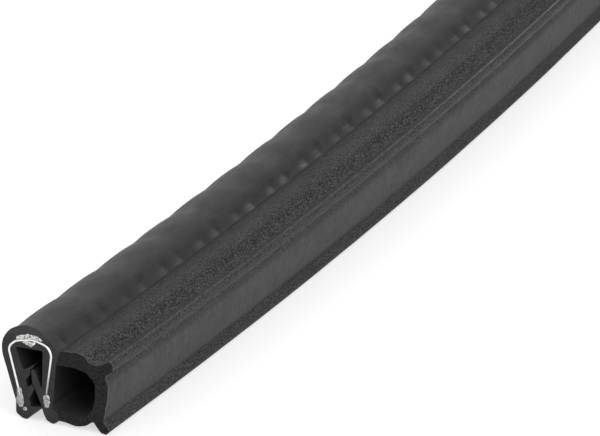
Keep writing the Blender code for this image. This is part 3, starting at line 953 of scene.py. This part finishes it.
# %% Sweep the channel
SKIN_FOOT_MM = 3.2
SKIN_DEPTH_MM = 0.15
SHOULDER_REACH_MM = 1.25
SHOULDER_FADE_MM = 0.5
ROUND_FOOT_MM = 8
BOND_START_MM = 5.5


def crown_angle(x, z):
    """Angle of a point round the crown's centre, 0 at the right and pi at the left."""
    return math.atan2(z - CROWN_CENTRE_MM, x)


def on_skin(x, z):
    """1 on the crown and the outer walls, 0 on the inside."""
    if z > CROWN_CENTRE_MM:
        depth = CROWN_RADIUS_MM - math.hypot(x, z - CROWN_CENTRE_MM)
    else:
        depth = wall(z) - abs(x)
    return 1.0 if depth < SKIN_DEPTH_MM and z > SKIN_FOOT_MM else 0.0


def shoulder_strength(x, z):
    """Strongest on the right shoulder, where the wire turns down nearest to the skin."""
    inside_reach = SHOULDER_REACH_MM - math.dist((x, z), SHOULDER_MM)
    return on_skin(x, z) * max(0.0, min(1.0, inside_reach / SHOULDER_FADE_MM))


def crown_strength(x, z):
    """Over the whole crown, fading down the walls."""
    return on_skin(x, z) * max(0.0, math.sin(max(0.0, min(math.pi, crown_angle(x, z))))) ** 0.5


channel_guide = section_guide(
    "channel_section", channel_outline, shoulder=shoulder_strength, crown=crown_strength,
    round_crown=lambda x, z: max(-0.3, min(3.4, crown_angle(x, z))) if z > ROUND_FOOT_MM else 0.0,
    outside=lambda x, z: on_skin(x, z) if x < BOND_START_MM else 0.0)
channel = sweep("channel_rubber", channel_guide, rings=700, margin_mm=CUT_RECESS_MM, material=dense_skin,
                leg_mm=0.10, ripple_mm=-0.24, unevenness_mm=0.12)
finish_strip(channel, dense_cut, spacing=0.34, roughness_mm=0.05, seed=11)
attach(channel, "root")
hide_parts("grip_channel")

# %% [markdown]
# ## Side bulb
# The bulb is soft sponge rubber, extruded together with the channel and bonded to its wall. It
# has no wire, so its skin only wanders a little. The same tree sweeps it with the legs' relief
# set to nothing, and fewer rings are enough.

# %% Sweep the bulb
HOLLOW_SPAN_MM = (2.0, 10.8)
HOLLOW_SIDE_MM = 12.3
BOND_SIDE_MM = 5.9


def bulb_skin(x, z):
    """1 on the bulb's outer skin, 0 on the bond and in the hollow."""
    in_hollow = HOLLOW_SPAN_MM[0] < z < HOLLOW_SPAN_MM[1] and x < HOLLOW_SIDE_MM
    bonded = x < BOND_SIDE_MM and z > HOLLOW_SPAN_MM[0]
    return 0.0 if in_hollow or bonded else 1.0


bulb_guide = section_guide("bulb_section", bulb_outline, outside=bulb_skin)
bulb = sweep("bulb_sponge", bulb_guide, rings=400, margin_mm=CUT_RECESS_MM, material=sponge_skin,
             unevenness_mm=0.14)
finish_strip(bulb, sponge_cut, spacing=0.26, roughness_mm=0.09, seed=21)
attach(bulb, "root")
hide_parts("side_bulb")

# %% [markdown]
# ## Wire carrier
# One hard wire zigzags across the section, leg after leg, and the yarn ties its turns together.
# The legs lie in pairs with a narrow and a wide gap. A leg lies right in each cut, which is why
# the photograph shows one unbroken bright line round the cavity. A tree makes the legs from the
# section's path: it counts points, works out which leg each belongs to, and samples the path
# forwards on even legs and backwards on odd ones, so the wire stays one continuous line.

# %% Path of a leg
WIRE_DIAMETER_MM = 0.43
WIRE_SIDES = 7
CUT_LEG_MM = 0.23
LEG_COUNT = 2 * math.ceil(STRIP_LENGTH / (WIRE_PERIOD_MM * MM)) + 1
wire_path = rounded([
    (-2.52, 4.0, 0), (-4.06, 12.1, 1.5), (-2.55, 13.42, 2.2), (0.9, 14.12, 4.0),
    (3.42, 13.42, 1.8), (4.02, 12.0, 1.6), (2.55, 5.3, 0),
], closed=False, fineness=3.0)
wire_guide = section_guide("wire_path", wire_path, closed=False)


def build_wire_tree():
    """One long wire that goes to and fro across the section as it runs along the strip."""
    tree, value = new_tree(
        "zigzag_wire", path="Object", path_points="Int", legs="Int", period="Float", first_leg="Float",
        second_leg="Float", lowest="Float", highest="Float", bow_radius="Float", bow_centre="Vector",
        radius="Float", material="Material")
    count = product(tree, value["Legs"], value["Path Points"])
    row = add_node(tree, "GeometryNodeMeshLine", inputs={"Count": count})
    index = add_node(tree, "GeometryNodeInputIndex").outputs[0]
    middle = calculate(tree, "ADD", index, 0.5)
    leg = calculate(tree, "FLOOR", calculate(tree, "DIVIDE", middle, value["Path Points"]))
    step = calculate(tree, "SUBTRACT", index, product(tree, leg, value["Path Points"]))
    odd = calculate(tree, "MODULO", leg, 2.0)
    last = calculate(tree, "SUBTRACT", value["Path Points"], 1.0)
    back = calculate(tree, "SUBTRACT", last, product(tree, step, 2.0))
    chosen = calculate(tree, "ROUND", calculate(tree, "MULTIPLY_ADD", back, odd, step))
    place = add_node(tree, "GeometryNodeInputPosition").outputs[0]
    spot = add_node(tree, "GeometryNodeSampleIndex", {"data_type": "FLOAT_VECTOR", "domain": "POINT"}, {
        "Geometry": shape_of(tree, value["Path"]), "Value": place, "Index": chosen})
    flat = add_node(tree, "ShaderNodeSeparateXYZ", inputs={0: spot.outputs[0]})
    pair = calculate(tree, "FLOOR", calculate(tree, "DIVIDE", leg, 2.0))
    gap = calculate(tree, "SUBTRACT", value["Second Leg"], value["First Leg"])
    start = calculate(tree, "SUBTRACT", value["First Leg"], value["Period"])
    start = calculate(tree, "MULTIPLY_ADD", gap, odd, start)
    along = calculate(tree, "MULTIPLY_ADD", pair, value["Period"], start)
    along = calculate(tree, "MINIMUM", calculate(tree, "MAXIMUM", along, value["Lowest"]), value["Highest"])
    angle = calculate(tree, "DIVIDE", along, value["Bow Radius"])
    radius = calculate(tree, "ADD", value["Bow Radius"], flat.outputs["X"])
    bent = add_node(tree, "ShaderNodeCombineXYZ", inputs={
        "X": product(tree, radius, calculate(tree, "COSINE", angle)),
        "Y": product(tree, radius, calculate(tree, "SINE", angle)),
        "Z": product(tree, flat.outputs["Y"], -1.0)})
    world_place = add_node(tree, "ShaderNodeVectorMath", {"operation": "ADD"}, {
        0: bent.outputs[0], 1: value["Bow Centre"]})
    set_place = add_node(tree, "GeometryNodeSetPosition", inputs={
        "Geometry": row.outputs[0], "Position": world_place.outputs[0]})
    line = add_node(tree, "GeometryNodeMeshToCurve", inputs={"Mesh": set_place.outputs[0]})
    ring = add_node(tree, "GeometryNodeCurvePrimitiveCircle", inputs={
        "Resolution": WIRE_SIDES, "Radius": value["Radius"]})
    tube = add_node(tree, "GeometryNodeCurveToMesh", inputs={
        "Curve": line.outputs[0], "Profile Curve": ring.outputs[0], "Fill Caps": True})
    end_tree(tree, tube.outputs[0], value["Material"])
    return tree


# %% Steel wire and yarn surfaces


def object_noise(tree, per_metre, detail):
    """Noise on the piece's own coordinates, for pieces that store no straightened place."""
    place = add_node(tree, "ShaderNodeTexCoord").outputs["Object"]
    return add_node(tree, "ShaderNodeTexNoise", inputs={
        "Vector": place, "Scale": per_metre, "Detail": detail}).outputs["Fac"]


def drawn_steel():
    """Bright drawn steel wire: fine lines along it and a clean metal gleam."""
    material, tree, shader = new_material("drawn_steel_wire")
    scratches = object_noise(tree, 9000.0, 2.0)
    fill(tree, shader, {
        "Base Color": blend(tree, spread(tree, scratches, 0, 1), "#dcdcda", "#fbfbf9"),
        "Roughness": spread(tree, scratches, 0.28, 0.42),
        "Metallic": 1.0,
    })
    return material


def polyester_yarn():
    """Spun polyester yarn: off-white fibres that scatter light softly, greyer low in the section."""
    material, tree, shader = new_material("spun_polyester_yarn")
    strands = spread(tree, object_noise(tree, 3600.0, 3.0), 0, 1, 0.35, 0.6)
    clumps = spread(tree, object_noise(tree, 1300.0, 1.0), 0, 0.6, 0.45, 0.65)
    place = add_node(tree, "ShaderNodeTexCoord").outputs["Object"]
    height = add_node(tree, "ShaderNodeSeparateXYZ", inputs={0: place}).outputs["Z"]
    # Greyer towards the bottom of the section.
    greyer_low = product(tree, smooth_step(tree, height, 8, 4), 0.45)
    fill(tree, shader, {
        "Base Color": painted(tree, blend(tree, strands, "#5c5c59", "#fbfaf6"), [
            (clumps, "#fdfcf9"), (greyer_low, "#5f5f5c")]),
        "Roughness": 0.8,
        "Sheen Weight": 0.3,
    })
    return material


steel = drawn_steel()
yarn_material = polyester_yarn()

# %% Run the wire
wire = run_tree(
    "zigzag_wire", build_wire_tree(), path=wire_guide, path_points=len(wire_path), legs=LEG_COUNT,
    period=WIRE_PERIOD_MM * MM, first_leg=FIRST_LEG_MM * MM, second_leg=SECOND_LEG_MM * MM,
    lowest=CUT_LEG_MM * MM, highest=STRIP_LENGTH - CUT_LEG_MM * MM, bow_radius=BOW_RADIUS,
    bow_centre=bow_centre, radius=WIRE_DIAMETER_MM / 2 * MM, material=steel)
wire.data.shade_smooth()
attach(wire, "root")
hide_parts("wire_carrier")

# %% [markdown]
# ## Yarn
# Bundles of white polyester yarn run along the strip and hold the wire's turns at their pitch: one
# over and one under the crown, and one at the end of each leg. Where the blade cut them they fray,
# and the fibre ends stand out of the rubber. Each bundle is a core that follows the strip, with
# a tuft of short curved fibres scattered over both cut ends by Geometry Nodes.

# %% Fibre and tufts
FIBRE_SEED = 7
FRAY_MM = 0.09
FRAY_SPACING_MM = 0.28
FIBRE_RINGS = 5
FIBRE_CURL = 0.18
FIBRE_THICKNESS = 0.17
TIP_LOSS = 0.7
FIBRE_LEAN = 0.9
FIBRE_SPIN = 6.28
FIBRE_LENGTHS = (0.5, 1.2)

crown_top = rounded([
    (2.75, 14.16, 0.1), (1.85, 14.78, 0.5), (0.0, 14.98, 1.0), (-1.75, 14.48, 0.6),
    (-2.72, 13.70, 0.1), (-1.2, 13.98, 0.3), (0.9, 14.24, 1.0)])
crown_under = rounded([
    (1.25, 13.74, 0.1), (-1.50, 13.46, 0.1), (-0.70, 13.12, 0.3), (0.10, 12.80, 0.3),
    (0.70, 12.95, 0.3)])
left_bundle = rounded([
    (-2.30, 5.30, 0.2), (-2.92, 5.40, 0.2), (-3.24, 3.05, 0.3), (-2.92, 1.95, 0.3),
    (-2.15, 2.15, 0.3), (-1.85, 3.30, 0.5)])
left_strand = rounded([(-1.42, 2.15, 0.25), (-2.05, 2.05, 0.25), (-2.00, 1.45, 0.25), (-1.45, 1.45, 0.25)])
right_bundle = rounded([
    (2.50, 5.15, 0.3), (1.90, 4.60, 0.4), (1.88, 3.60, 0.4), (2.15, 2.72, 0.3),
    (2.72, 2.85, 0.3), (2.98, 3.80, 0.5), (3.02, 4.85, 0.3)])
yarn_sections = {
    "crown_yarn_top": [crown_top],
    "crown_yarn_under": [crown_under],
    "left_edge_yarn": [left_bundle, left_strand],
    "right_edge_yarn": [right_bundle],
}


def frayed(outline, seed):
    """The same outline with its points pushed about, as loose fibres do at a bundle's edge."""
    draw = random.Random(seed)
    return [(x + draw.uniform(-FRAY_MM, FRAY_MM), z + draw.uniform(-FRAY_MM, FRAY_MM))
            for x, z in split_long(outline, FRAY_SPACING_MM)]


def as_object(name, mesh):
    """An object with what a bmesh holds, which is then freed."""
    data = bpy.data.meshes.new(name)
    mesh.to_mesh(data)
    mesh.free()
    return bpy.data.objects.new(name, data)


def fibre_object():
    """One cut fibre: a short, slightly curled, three-sided strand that grows thin to its tip."""
    mesh = bmesh.new()
    rings = []
    for i in range(FIBRE_RINGS):
        share = i / (FIBRE_RINGS - 1)
        centre = Vector((FIBRE_CURL * share ** 2, 0, share))
        thick = FIBRE_THICKNESS * (1 - TIP_LOSS * share)
        rings.append([mesh.verts.new(centre + Vector((math.cos(a), math.sin(a), 0)) * thick)
                      for a in (0, 2 * math.pi / 3, 4 * math.pi / 3)])
    for lower, upper in zip(rings, rings[1:]):
        for j in range(3):
            mesh.faces.new((lower[j], lower[(j + 1) % 3], upper[(j + 1) % 3], upper[j]))
    mesh.faces.new(rings[0][::-1])
    mesh.faces.new(rings[-1])
    return as_object("cut_fibre", mesh)


def build_tuft_tree():
    """Fibres scattered over a flat patch, leaning every way."""
    tree, value = new_tree("yarn_tuft", patch="Object", fibre="Object", density="Float",
                           fibre_length="Float", seed="Int", material="Material")
    spots = add_node(tree, "GeometryNodeDistributePointsOnFaces", {"distribute_method": "RANDOM"}, {
        "Mesh": shape_of(tree, value["Patch"]), "Density": value["Density"], "Seed": value["Seed"]})
    lean = add_node(tree, "FunctionNodeRandomValue", {"data_type": "FLOAT_VECTOR"}, {
        0: (-FIBRE_LEAN, -FIBRE_LEAN, 0.0), 1: (FIBRE_LEAN, FIBRE_LEAN, FIBRE_SPIN),
        "Seed": value["Seed"]})
    turned = add_node(tree, "FunctionNodeRotateRotation", {"rotation_space": "LOCAL"}, {
        "Rotation": spots.outputs["Rotation"], "Rotate By": lean.outputs[0]})
    length = add_node(tree, "FunctionNodeRandomValue", {"data_type": "FLOAT"}, {
        2: FIBRE_LENGTHS[0], 3: FIBRE_LENGTHS[1], "Seed": value["Seed"]})
    size = product(tree, length.outputs[1], value["Fibre Length"])
    tuft = add_node(tree, "GeometryNodeInstanceOnPoints", inputs={
        "Points": spots.outputs["Points"], "Instance": shape_of(tree, value["Fibre"]),
        "Rotation": turned.outputs[0], "Scale": size})
    end_tree(tree, tuft.outputs[0], value["Material"])
    return tree


fibre = fibre_object()
tuft_tree = build_tuft_tree()

# %% Yarn bundles
TUFT_DEPTH_MM = 0.10
FIBRE_LENGTH_MM = 0.22
FIBRES_PER_M2 = 9.0e7


def end_patch(name, outline, along, forward):
    """A flat face over a bundle's section, facing out of the cut."""
    mesh = bmesh.new()
    face = mesh.faces.new([mesh.verts.new(on_strip(x, along, z)) for x, z in outline])
    face.normal_update()
    if face.normal.y * forward < 0:
        face.normal_flip()
    return as_object(name, mesh)


def close_holes(piece):
    """Caps both ends of a core. The caps are hidden under the tufts, so they stay flat."""
    mesh = bmesh.new()
    mesh.from_mesh(piece.data)
    bmesh.ops.holes_fill(mesh, edges=mesh.edges[:], sides=0)
    bmesh.ops.recalc_face_normals(mesh, faces=mesh.faces)
    mesh.to_mesh(piece.data)
    mesh.free()


def join_pieces(name, parts):
    """Several mesh objects as one plain mesh."""
    mesh = bmesh.new()
    for part in parts:
        mesh.from_mesh(part.data)
        bpy.data.objects.remove(part)
    joined = as_object(name, mesh)
    joined.data.materials.append(yarn_material)
    joined.data.shade_smooth()
    bpy.context.scene.collection.objects.link(joined)
    return joined


cuts = ((TUFT_DEPTH_MM * MM, -1), (STRIP_LENGTH - TUFT_DEPTH_MM * MM, 1))
for number, (node_name, outlines) in enumerate(yarn_sections.items()):
    seed = FIBRE_SEED + number * 10
    parts = []
    for k, smooth_outline in enumerate(outlines):
        outline = frayed(smooth_outline, seed + k)
        guide = section_guide(f"{node_name}_section_{k}", outline)
        core = sweep(f"{node_name}_core_{k}", guide, rings=120, margin_mm=TUFT_DEPTH_MM,
                     material=yarn_material)
        close_holes(core)
        parts.append(core)
        for end, (along, forward) in enumerate(cuts):
            patch = end_patch(f"{node_name}_patch_{k}_{end}", outline, along, forward)
            parts.append(run_tree(
                f"{node_name}_tuft_{k}_{end}", tuft_tree, patch=patch, fibre=fibre,
                density=FIBRES_PER_M2, fibre_length=FIBRE_LENGTH_MM * MM,
                seed=seed + k * 2 + end, material=yarn_material))
    yarn = join_pieces(node_name.replace("_yarn", "_yarn_bundle"), parts)
    print(yarn.name, "has", len(yarn.data.polygons), "faces")
    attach(yarn, "root")
    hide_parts(node_name)

# %% [markdown]
# The dressed strip's box is set against the CAD model's box, and how far it grew, in millimetres,
# is printed.
# CAD model's box, so that the two can be compared after each render.

# %% Write the sizes and finish
visual_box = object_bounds()
grown = [round((visual_box[i][j] - cad_box[i][j]) / MM, 3) for i in (0, 1) for j in range(3)]
print("grown by mm", grown)
